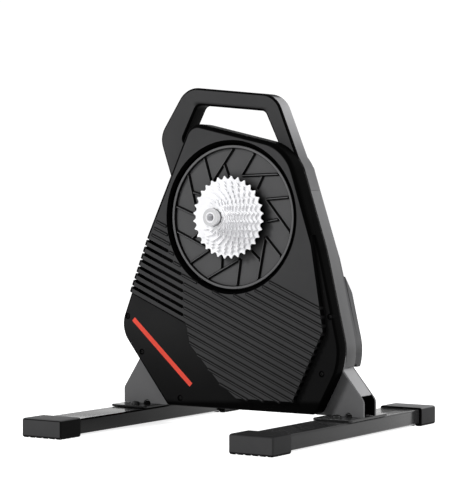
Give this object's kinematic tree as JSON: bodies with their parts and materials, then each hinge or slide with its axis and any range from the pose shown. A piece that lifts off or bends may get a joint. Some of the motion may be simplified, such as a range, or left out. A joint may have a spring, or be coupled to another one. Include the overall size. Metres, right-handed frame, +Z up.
{
  "type": "bike trainer",
  "caption": "Direct-drive indoor bike trainer: a flat body with a ribbed cover, belt wheel and sprockets on a hollow axle, a carrying handle, and two floor bars with rubber end caps.",
  "frame": {"origin": "on the floor, under the middle of the two floor bars", "axes": "+Z up, +X along the bike towards its front wheel, +Y along the wheel axle away from the sprockets"},
  "size_m": [0.466, 0.523, 0.5602],
  "materials": {
    "frame_paint": "satin grey paint",
    "handle_finish": "satin",
    "bar_paint": "gloss black paint",
    "cap_rubber": "matt",
    "cover_plastic": "fine texture",
    "rear_cover_plastic": "fine texture",
    "inlet_plastic": "smooth",
    "bolt_steel": "zinc plated",
    "axle_steel": "turned",
    "end_cap_aluminium": "turned",
    "brake_steel": "laminated core with copper windings",
    "board": "lacquered",
    "belt": "matt",
    "wheel_aluminium": "dark anodised",
    "freehub_aluminium": "machined",
    "sprocket_steel": "satin nickel plate",
    "flywheel_iron": "turned"
  },
  "bodies": {
    "frame": {"front_plate": "frame_paint", "rear_plate": "frame_paint", "leg_web_left": "frame_paint", "leg_web_right": "frame_paint", "side_rail_left": "frame_paint", "side_rail_right": "frame_paint", "handle": "handle_finish", "handle_bolt_left": "bolt_steel", "handle_bolt_right": "bolt_steel", "foot_plate_left": "bar_paint", "foot_plate_right": "bar_paint", "floor_bar_left": "bar_paint", "floor_bar_right": "bar_paint", "end_cap_front_left": "cap_rubber", "end_cap_front_right": "cap_rubber", "end_cap_rear_left": "cap_rubber", "end_cap_rear_right": "cap_rubber", "foot_bolt_front_left": "bolt_steel", "foot_bolt_front_right": "bolt_steel", "foot_bolt_rear_left": "bolt_steel", "foot_bolt_rear_right": "bolt_steel", "drive_cover": "cover_plastic", "cover_screw_1": "bolt_steel", "cover_screw_2": "bolt_steel", "cover_screw_3": "bolt_steel", "cover_screw_4": "bolt_steel", "cover_screw_5": "bolt_steel", "rear_cover": "rear_cover_plastic", "axle": "axle_steel", "axle_boss": "axle_steel", "drive_end_cap": "end_cap_aluminium", "rear_end_cap": "end_cap_aluminium", "shaft_bearing_front": "axle_steel", "shaft_bearing_rear": "axle_steel", "brake_core": "brake_steel", "brake_carrier": "end_cap_aluminium", "circuit_board": "board", "power_inlet": "inlet_plastic", "drive_belt": "belt", "idler_bolt": "bolt_steel"},
    "belt_wheel": {"belt_wheel": "wheel_aluminium", "hub_bearing_front": "axle_steel", "hub_bearing_rear": "axle_steel"},
    "cassette": {"freehub": "freehub_aluminium", "freehub_bearing": "axle_steel", "sprocket_11t": "sprocket_steel", "sprocket_12t": "sprocket_steel", "sprocket_13t": "sprocket_steel", "sprocket_14t": "sprocket_steel", "sprocket_16t": "sprocket_steel", "sprockets_18t_to_22t": "sprocket_steel", "sprockets_25t_to_32t": "sprocket_steel", "lockring": "sprocket_steel"},
    "flywheel": {"flywheel": "flywheel_iron", "flywheel_shaft": "axle_steel", "small_pulley": "end_cap_aluminium"},
    "idler": {"idler_wheel": "end_cap_aluminium"}
  },
  "joints": [
    {"name": "flywheel_spin", "type": "hinge", "parent": "frame", "child": "flywheel", "pos_m": [0.003, 0.034, 0.182], "axis": [0, 1, 0], "continuous": true},
    {"name": "belt_wheel_spin", "type": "hinge", "parent": "frame", "child": "belt_wheel", "pos_m": [0.003, 0, 0.347], "axis": [0, 1, 0], "continuous": true},
    {"name": "idler_spin", "type": "hinge", "parent": "frame", "child": "idler", "pos_m": [0.0575, 0.002, 0.208], "axis": [0, 1, 0], "continuous": true},
    {"name": "cassette_spin", "type": "hinge", "parent": "belt_wheel", "child": "cassette", "pos_m": [0.003, -0.04, 0.347], "axis": [0, 1, 0], "continuous": true}
  ],
  "couplings": [
    {"joint": "belt_wheel_spin", "follows": "flywheel_spin", "ratio": 0.15715},
    {"joint": "idler_spin", "follows": "flywheel_spin", "ratio": -1.0592}
  ]
}
